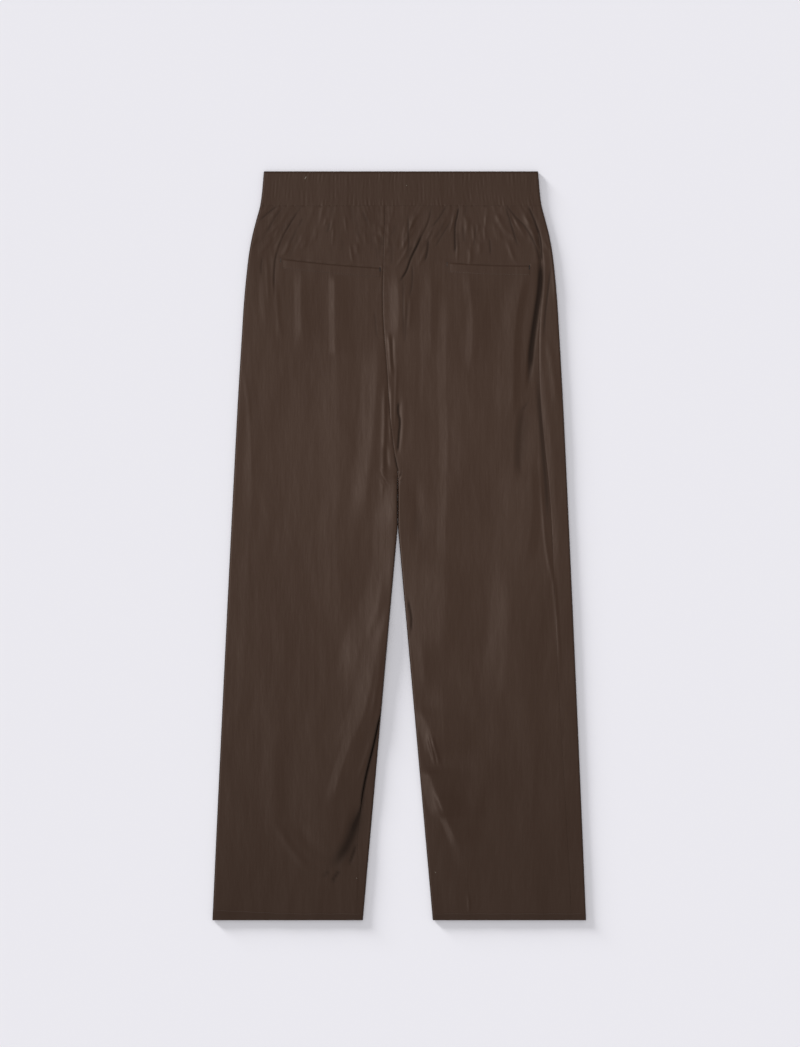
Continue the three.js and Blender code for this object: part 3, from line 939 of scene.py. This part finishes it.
def tucks(x: Array) -> Array:
    """How far the waistband's seam is pulled in at each place across, in uneven spots."""
    spots = np.clip(np.sin(x / 2.1 + 3 * np.sin(x / 13.0)), 0, 1) ** 3
    return spots * (0.25 + 0.75 * blend(np.sin(x / 37.0 - 1.2), -0.2, 0.6))


def painted_fold_shade(relief: Array) -> Array:
    """How much shade is painted on a place by how far down in a fold it is, from 0 on plain cloth to 1."""
    return np.clip(-(relief + 0.5) / 2.2, 0.0, 1.0)


@dataclass
class Leg:
    """One trouser leg with its half of the seat: a back panel and a front panel."""

    name: str
    side: int
    wall: float = 0.9
    seam_dip: float = 0.6
    seam_reach: float = 1.6
    tuck_depth: float = 0.4
    pucker: float = 0.08
    gape: float = 1.9
    gape_shade: float = 0.9
    hem_shade: float = 0.14
    back_rows: tuple[tuple[float, int], ...] = (
        (BAND_DEPTH + 0.1, 0), (150, 62), (260, 40), (FORK_DOWN, 40), (560, 20), (730, 18), (990, 60),
        (LENGTH - 12, 6), (LENGTH, 10),
    )
    front_rows: tuple[tuple[float, int], ...] = (
        (BAND_DEPTH + 0.1, 0), (260, 70), (560, 50), (LENGTH - 12, 48), (LENGTH, 8),
    )

    def seams(self, section: Section, layer: str) -> tuple[Array, Array]:
        """Stations where a layer starts and ends.

        Args:
            section: the leg's section.
            layer: back or front.

        Returns:
            The first and the last station at each depth.
        """
        down = section.down
        outer = RIGHT_SIDE_WRAP(down) if self.side > 0 else LEFT_SIDE_WRAP(down)
        inner = np.zeros_like(down) if self.side > 0 else np.maximum(0, LEFT_INSEAM_WRAP(down))
        if layer == "back":
            first = section.inner_turn * section.inner_seam(inner + HALF_SEAM + self.gape * self.gaping(down))
            return first, section.outer_seam(outer + HALF_SEAM)
        turned = section.inner_turn * (section.inner_seam(inner - HALF_SEAM) + section.roll)
        return section.outer_seam(outer - HALF_SEAM), 2 + section.roll + turned

    def gaping(self, down: Array) -> Array:
        """How far the inseam gapes, from 0 to 1, both opened in the cloth and darkened with painted shade
        beside it; only the left one does, low down.
        """
        return 0.0 * down if self.side > 0 else blend(down, 742, 775) * blend(-down, -905, -868)

    @staticmethod
    def seam_shown(down: Array) -> Array:
        """How plainly the pressed seams show at each depth: best below the pockets, least down the legs."""
        shown = (1 - 0.85 * blend(down, 590, 680)) * (0.15 + 0.65 * blend(down, 120, 160))
        return shown * (1 - 0.5 * blend(down, 395, 430))

    def place(self, layer: str) -> Lay:
        """Function that lays a panel's grid on the leg.

        Args:
            layer: back or front.

        Returns:
            A function from shares across and depths to points and painted shade.
        """

        def lay(across: Array, down: Array) -> tuple[Array, Array]:
            """Points of the grid, and the shade painted at each."""
            section = leg_section(self.side, down)
            first, last = self.seams(section, layer)
            points = section.place(mix(first, last, across), Relief.top)
            width = (last - first) * (section.outer_centre - section.upper_start)
            edge = np.minimum(across, 1 - across) * width
            wavy = self.pucker * np.sin(down / 1.9 + 2 * np.sin(down / 23.0)) * bell(edge, 5.0)
            flatter = 0.5 if self.side > 0 else 1.0
            shown = self.seam_shown(down)
            dip = self.seam_dip * flatter * shown * (1 - blend(edge, 0, self.seam_reach))
            at_casing = 1 - blend(down - BAND_DEPTH, 0, 2.0)
            dip = np.maximum(dip, (0.05 + self.tuck_depth * tucks(points[:, 0])) * at_casing)
            upper = blend(points[:, 2], 1.6, 2.6)
            points[:, 2] = np.maximum(points[:, 2] + upper * (wavy - dip), 0.0)
            relief = points[:, 2] - section.height
            # Painted shade, only on the upper layer: darker in folds and pinched creases, beside the gaping
            # inseam and below the hem's stitching.
            painted_dark = np.maximum(painted_fold_shade(relief), Relief.painted_crease_shade(points[:, 0], down))
            inseam = across if layer == "back" else 1 - across
            beside = 1 - blend(inseam * width, 0.2, 2.6)
            painted_dark = np.maximum(painted_dark, self.gape_shade * self.gaping(down) * beside)
            line = Relief.hem_line(points[:, 0])
            painted_dark = np.maximum(painted_dark, self.hem_shade * blend(down, line, line + 2.0))
            return points, painted_dark * upper

        return lay

    def build(self, satin: bpy.types.Material) -> Iterator[bpy.types.Object]:
        """Make and dress both panels, the front one with most of its columns where it wraps into view.

        Args:
            satin: the cloth.

        Yields:
            The back panel and the front panel.
        """
        wrapped = ((0, 0), (0.5, 0.2), (1, 1)) if self.side > 0 else ((0, 0), (0.4, 0.72), (1, 1))
        for layer, columns, rows, spacing in (
            ("back", 188, self.back_rows, EVEN),
            ("front", 92, self.front_rows, wrapped),
        ):
            node_name = f"{layer}_{self.name}"
            shell = Shell(f"{node_name}_cloth", node_name, columns, rows, self.wall, spacing)
            panel = shell.build(self.place(layer), satin, turned=self.side < 0)
            self.declare(panel, layer)
            yield panel

    def declare(self, panel: bpy.types.Object, layer: str) -> None:
        """Lay out points of a panel's cut round the tube from seam to seam; nothing is done with them."""
        down = np.linspace(BAND_DEPTH, LENGTH, 200)
        section = leg_section(self.side, down)
        first, last = self.seams(section, layer)
        stations = np.linspace(0, 1, 240)[:, None]
        rows = [section.place(mix(first, last, share), Relief.top) for share in stations]


@dataclass
class Waistband:
    """Elasticated casing in two halves, with its fine gathers on the back."""

    gathers: int = 60
    gather_height: float = 0.12
    casing: float = 2.0
    cut_width: float = 430.0
    edge_drop: float = 1.3
    tuck_depth: float = 0.25

    def rise(self, x: Array, down: Array) -> Array:
        """Height of the casing's gathers: uneven, some running on into the panel below."""
        drift = 1.6 * np.sin(x / 31.0) + 1.1 * np.sin(x / 11.7 + 2.0) + 0.5 * np.sin(down / 9.0 + x / 17.0)
        phase = np.pi * self.gathers * (x + drift) / (2 * HALF_WIDTH(down))
        ridge = np.abs(np.sin(phase)) ** 0.8 - 0.6
        second = np.sin(2.63 * phase + 1.5 * np.sin(down / 13.0)) * 0.35
        strength = 0.5 + 0.5 * np.sin(x / 8.9 + 2.6 * np.sin(down / 9.0 + x / 23.0))
        lengthwise = 0.75 + 0.25 * np.cos((down - 3.0) / 7.2)
        return self.gather_height * (ridge + second) * strength * lengthwise

    def top(self, x: Array, down: Array, plain: Array) -> Array:
        """Top of the casing, dropping at its folded edge and at the seam below."""
        folded_edge = self.edge_drop * (1 - blend(down, 0, 3.4)) ** 1.5
        seam = (0.05 + self.tuck_depth * tucks(x)) * (1 - blend(BAND_DEPTH - down, 0, 1.6))
        entering = Relief.folds(x, down) - Relief.noise(x, down)
        rise = self.rise(x, down) + 0.5 * entering * blend(down, 30, BAND_DEPTH)
        return plain - 0.1 + rise - folded_edge - seam

    def place(self, layer: str) -> Lay:
        """Function that lays one half's grid on the casing, for back or front."""

        def lay(across: Array, down: Array) -> tuple[Array, Array]:
            """Points of the grid, and the shade painted at each."""
            section = band_section(down)
            half = HALF_SEAM if layer == "back" else -HALF_SEAM
            left = section.inner_seam(LEFT_SIDE_WRAP(down) + half)
            right = section.outer_seam(RIGHT_SIDE_WRAP(down) + half)
            first, last = (left, right) if layer == "back" else (right, section.round + left)
            points = section.place(mix(first, last, across), self.top)
            upper = blend(points[:, 2], 2.6, 4.2)
            # Painted shade in the casing's folds, at less than half strength.
            return points, 0.45 * painted_fold_shade((points[:, 2] - BAND_HEIGHT) * 1.3) * upper

        return lay

    def build(self, satin: bpy.types.Material) -> Iterator[bpy.types.Object]:
        """Make and dress both halves, the front one with more columns where it wraps into view.

        Args:
            satin: the cloth.

        Yields:
            The back half and the front half.
        """
        rows = ((0, 0), (4, 6), (44, 18), (BAND_DEPTH, 5))
        for layer, columns, spacing in (
            ("back", 760, EVEN),
            ("front", 260, ((0, 0), (0.25, 0.06), (1, 1))),
        ):
            node_name = f"waistband_{layer}"
            shell = Shell(f"{node_name}_casing", node_name, columns, rows, self.casing, spacing)
            half = shell.build(self.place(layer), satin)
            yield half


@dataclass
class Welt:
    """Single welt of a back pocket, folded along its top edge and edge-stitched below."""

    pocket: Pocket
    wall: float = 0.5
    lift: float = 0.3
    clear: float = 0.12
    stitch_sink: float = 0.12
    end_sink: float = 0.4
    left_end: float = 16.0
    right_end: float = 1.6

    def lay(self, across: Array, share: Array) -> tuple[Array, Array]:
        """Points of the welt, following the panel below it, and the shade painted at each.

        Args:
            across: shares of the way from the left end to the right one.
            share: shares of the way from the folded edge down.

        Returns:
            Points in millimetres, and the shade painted at each by how far down in a fold it is.
        """
        pocket = self.pocket
        x = mix(pocket.x0, pocket.x1, across)
        past = share * WELT_DEPTH
        left = (1 - share) * WELT_DEPTH
        down = pocket.opening(x) + past
        ends = np.minimum(across * pocket.width / self.left_end, (1 - across) * pocket.width / self.right_end)
        edge = np.minimum(ends, left / 2.6)
        crown = self.lift * blend(edge, 0, 1) - 0.25 * (1 - blend(past, 0, 1.2))
        stitch = -self.stitch_sink * bell(left - WELT_INSET, 0.7)
        sunk = self.end_sink * (1 - blend(across * pocket.width, 0, 9.0))
        z = leg_face(pocket.side, x, down) + self.clear + crown + stitch - sunk
        return laid(x, down, z), painted_fold_shade(z - PANEL_HEIGHT)

    def build(self, satin: bpy.types.Material) -> Iterator[bpy.types.Object]:
        """Make and dress the welt.

        Args:
            satin: the cloth.

        Yields:
            The welt.
        """
        pocket = self.pocket
        shell = Shell(f"{pocket.name}_cloth", pocket.name, 110, ((0, 0), (1, 12)), self.wall)
        welt = shell.build(self.lay, satin)
        pocket.width * MM
        pocket.panel
        yield welt


@dataclass
class Stitching:
    """A row of stitches, each a small thread loop sunk a little into the cloth."""

    name: str
    length: float = 2.1
    pitch: float = 3.1
    thickness: float = 0.34

    def build(self, lines: Sequence[Array], thread: bpy.types.Material) -> bpy.types.Object:
        """Make the stitches.

        Args:
            lines: rows of stitches, each the points in millimetres that it follows on the cloth's face.
            thread: what the stitches are made of.

        Returns:
            All the rows, as one object.
        """
        row = bmesh.new()
        for line in lines:
            steps = np.linalg.norm(np.diff(line, axis=0), axis=1)
            walked = np.concatenate(([0.0], np.cumsum(steps)))
            for middle in np.arange(self.pitch / 2, walked[-1], self.pitch):
                ends = [
                    Vector([float(np.interp(at, walked, line[:, k])) for k in range(3)])
                    for at in (middle - self.length / 2, middle + self.length / 2)
                ]
                self.stitch(row, ends[0] * MM, ends[1] * MM)
        mesh = to_mesh(row, self.name)
        shade_smooth(mesh)
        mesh.materials.append(thread)
        return add_object(self.name, mesh)

    def stitch(self, row: bmesh.types.BMesh, start: Vector, end: Vector) -> None:
        """Add one stitch as a small ellipsoid between two points."""
        along = end - start
        turn = along.to_track_quat("X", "Z").to_matrix().to_4x4()
        half = self.thickness * MM / 2
        size = Matrix.Diagonal((along.length / 2, half, half, 1))
        matrix = Matrix.Translation((start + end) / 2) @ turn @ size
        bmesh.ops.create_uvsphere(row, u_segments=6, v_segments=4, radius=1.0, matrix=matrix)


@dataclass
class Sewing:
    """Everything sewn: hems, welts, bar tacks and a few ends of pale thread."""

    welt_lift: float = 0.36
    flecks: tuple[tuple[float, float, float, float], ...] = (
        (-131.2, 9.1, 4.8, 1.1),
        (10.1, 19.6, 1.5, 0.3),
        (-59.7, 989.0, 1.6, 0.2),
        (50.7, 981.0, 1.8, -0.6),
    )

    @staticmethod
    def on_leg(side: int, station: Array, down: Array, lift: float) -> Array:
        """Points on a leg's face, lifted a little off it."""
        points = leg_section(side, down).place(station, Relief.top)
        points[:, 2] += lift
        return points

    def hems(self, thread: bpy.types.Material) -> Iterator[bpy.types.Object]:
        """Stitch both hems across the upper layer."""
        for name, side in (("left", -1), ("right", 1)):
            station = np.linspace(0.01, 0.99, 160)
            line = Relief.hem_line(self.on_leg(side, station, np.full_like(station, LENGTH), 0.0)[:, 0])
            down = line + 0.35 * np.sin(station * 37)
            stitches = [self.on_leg(side, station, down, 0.1)]
            yield Stitching(f"hem_stitching_{name}", thickness=0.5).build(stitches, thread)

    def welts(
        self, thread: bpy.types.Material, half_shaded: bpy.types.Material, painted_dark: bpy.types.Material
    ) -> Iterator[bpy.types.Object]:
        """Edge-stitch the welts and tack their ends.

        Args:
            thread: for the right welt's edge.
            half_shaded: own thread darkened with painted shade, for the left welt's edge and the left tacks.
            painted_dark: own thread darkened further with painted shade, for the right tacks.

        Yields:
            The rows and the tacks.
        """
        for pocket in POCKETS:
            x = np.linspace(pocket.x0 + 1.5, pocket.x1 - 1.5, 120)
            down = pocket.opening(x) + WELT_DEPTH - WELT_INSET
            line = laid(x, down, self.over_welt(pocket, x, down))
            # The left welt's stitching gets the copy of the thread darkened with painted shade.
            along = thread if pocket.side > 0 else half_shaded
            row = Stitching(f"{pocket.name}_stitching", pitch=2.6, length=1.9, thickness=0.4)
            yield row.build([line], along)
            for end, at, into in (("left", pocket.x0, 1), ("right", pocket.x1, -1)):
                columns = [self.tack_column(pocket, at + into * (0.5 + 0.45 * k)) for k in range(3)]
                tack = Stitching(f"{pocket.name}_tack_{end}", pitch=0.6, length=1.2, thickness=0.5)
                # Right tacks get the near-black copy of the thread and left tacks the half-bright one, both
                # painted shade.
                yield tack.build(columns, painted_dark if into < 0 else half_shaded)

    def tack_column(self, pocket: Pocket, x: float) -> Array:
        """Points down one column of a bar tack."""
        column = np.full(20, x)
        depth = pocket.opening(column) + np.linspace(-0.8, 5.6, 20)
        sunk = 0.3 if x < pocket.x0 + 5 else -0.05
        return laid(column, depth, self.over_welt(pocket, column, depth) - sunk)

    def over_welt(self, pocket: Pocket, x: Array, down: Array) -> Array:
        """Height of the welt's face at each place."""
        return leg_face(pocket.side, x, down) + self.welt_lift

    def loose_ends(self, thread: bpy.types.Material) -> Iterator[bpy.types.Object]:
        """Lay the four pale thread ends that show on the cloth."""
        for number, (x, down, length, turn) in enumerate(self.flecks, 1):
            reach = np.linspace(-length / 2, length / 2, 8)
            xs = x + reach * math.cos(turn)
            downs = down - reach * math.sin(turn)
            if down < BAND_DEPTH:
                z = Waistband().top(xs, downs, np.full(8, BAND_HEIGHT)) + 0.2
            else:
                z = leg_face(1 if x > 0 else -1, xs, downs) + 0.15
            end = Stitching(f"thread_end_{number}", pitch=length, length=length * 0.95, thickness=0.7)
            yield end.build([laid(xs, downs, z)], thread)

    def build(self) -> Iterator[bpy.types.Object]:
        """Sew everything, one piece after the other."""
        own = Thread("own_thread", (0.12, 0.083, 0.064)).build()
        # Darker copies of the own thread, whose darkness is painted shade: about half as bright, and near
        # black.
        half_shaded = Thread("quiet_thread", (0.06, 0.036, 0.026)).build()
        painted_dark = Thread("tack_thread", (0.018, 0.012, 0.01)).build()
        pale = Thread("pale_thread", (0.55, 0.5, 0.42)).build()
        yield from self.hems(own)
        yield from self.welts(own, half_shaded, painted_dark)
        yield from self.loose_ends(pale)


@dataclass
class Studio:
    """Pale floor, soft light from the left and a camera looking straight down."""

    distance: float = 12.0
    photo_width: float = 800.0
    photo_height: float = 1047.0
    mm_per_pixel: float = 1.4
    middle_pixel: float = 399.25
    waist_pixel: float = 171.5
    sensor: float = 36.0
    surround: float = 0.45
    low_window: float = 5.03
    ceiling: float = 0.694
    key_power: float = 7480.0
    key_distance: float = 14.0
    key_direction: tuple[float, float, float] = (-0.462, -0.05, 0.885)
    key_target: tuple[float, float, float] = (0.01, 0.19, 0.0)
    key_cone: float = 7.55
    key_size: float = 0.78

    def camera(self) -> None:
        """Frame the garment as the photograph does."""
        lens_field = self.photo_height * self.mm_per_pixel * MM
        data = bpy.data.cameras.new("camera")
        data.sensor_width = data.sensor_height = self.sensor
        data.lens = self.sensor * self.distance / lens_field
        made = bpy.data.objects.new("camera", data)
        right = (self.photo_width / 2 - self.middle_pixel) * self.mm_per_pixel * MM
        below = (self.photo_height / 2 - self.waist_pixel) * self.mm_per_pixel * MM
        made.location = (right, LENGTH * MM / 2 - below, self.distance)
        bpy.context.scene.collection.objects.link(made)
        bpy.context.scene.camera = made

    def floor(self) -> bpy.types.Object:
        """Lay the floor.

        Returns:
            The floor, which isn't part of the garment.
        """
        made = bmesh.new()
        bmesh.ops.create_grid(made, x_segments=1, y_segments=1, size=6.0)
        mesh = to_mesh(made, "floor")
        floor = add_object("floor", mesh, ride=False)
        floor.location.z = -0.0002
        material, _, shader = new_material("floor")
        connect(shader, {"Base Color": (0.86, 0.855, 0.9, 1), "Roughness": 0.95, "Specular IOR Level": 0.0})
        mesh.materials.append(material)
        floor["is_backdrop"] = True
        return floor

    def world(self) -> None:
        """Even light from all round."""
        world = bpy.data.worlds.new("studio")
        world.use_nodes = True
        shade = world.node_tree.nodes["Background"]
        connect(shade, {"Color": (1.0, 0.99, 1.0, 1), "Strength": self.surround})
        bpy.context.scene.world = world

    def lamp(self, name: str, kind: str, place: Vector, target: Vector) -> bpy.types.Object:
        """Hang a lamp at a place, turned to a target."""
        made = bpy.data.objects.new(name, bpy.data.lights.new(name, kind))
        made.location = place
        made.rotation_euler = (target - place).to_track_quat("-Z", "Y").to_euler()
        bpy.context.scene.collection.objects.link(made)
        return made

    def light_only(self, lamp: bpy.types.Object, pieces: Sequence[bpy.types.Object]) -> None:
        """Let a lamp light some pieces and leave the rest alone."""
        lit = bpy.data.collections.new(f"lit_by_{lamp.name}")
        for piece in pieces:
            lit.objects.link(piece)
        lamp.light_linking.receiver_collection = lit

    def build(self) -> None:
        """Set up the whole studio, once every piece of the garment is there."""
        garment = [o for o in bpy.data.objects if o.type == "MESH"]
        self.camera()
        floor = self.floor()
        self.world()
        for name, place, strength, angle in (
            ("low_window", (-1.1, 1.05, 0.28), self.low_window, 15),
            ("ceiling", (0.0, 0.0, 1.0), self.ceiling, 40),
        ):
            sun = self.lamp(name, "SUN", Vector(place), Vector())
            sun.data.energy = strength
            sun.data.angle = math.radians(angle)
            self.light_only(sun, [floor])
        target = Vector(self.key_target)
        place = target + self.key_distance * Vector(self.key_direction)
        key = self.lamp("soft_window", "SPOT", place, target)
        key.data.energy = self.key_power
        key.data.spot_size = math.radians(self.key_cone)
        key.data.spot_blend = 1.0
        key.data.shadow_soft_size = self.key_size
        self.light_only(key, garment)
        bpy.context.scene.view_settings.view_transform = "Standard"


def main() -> None:
    """Build the garment and the studio round it."""
    logging.basicConfig(level=logging.INFO, format="%(message)s")
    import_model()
    cad_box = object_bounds()
    satin = Satin().build()
    makers = (Leg("left", -1), Leg("right", 1), Waistband(), *(Welt(pocket) for pocket in POCKETS))
    pieces = [piece for maker in makers for piece in maker.build(satin)]
    pieces += Sewing().build()
    for piece in pieces:
        LOG.info("%s: %d faces", piece.name, len(piece.data.polygons))
    Studio().build()
    sizes = {"cad": cad_box, "visual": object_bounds()}
    plain = {name: [[float(v) for v in corner] for corner in box] for name, box in sizes.items()}


if __name__ == "__main__":
    main()
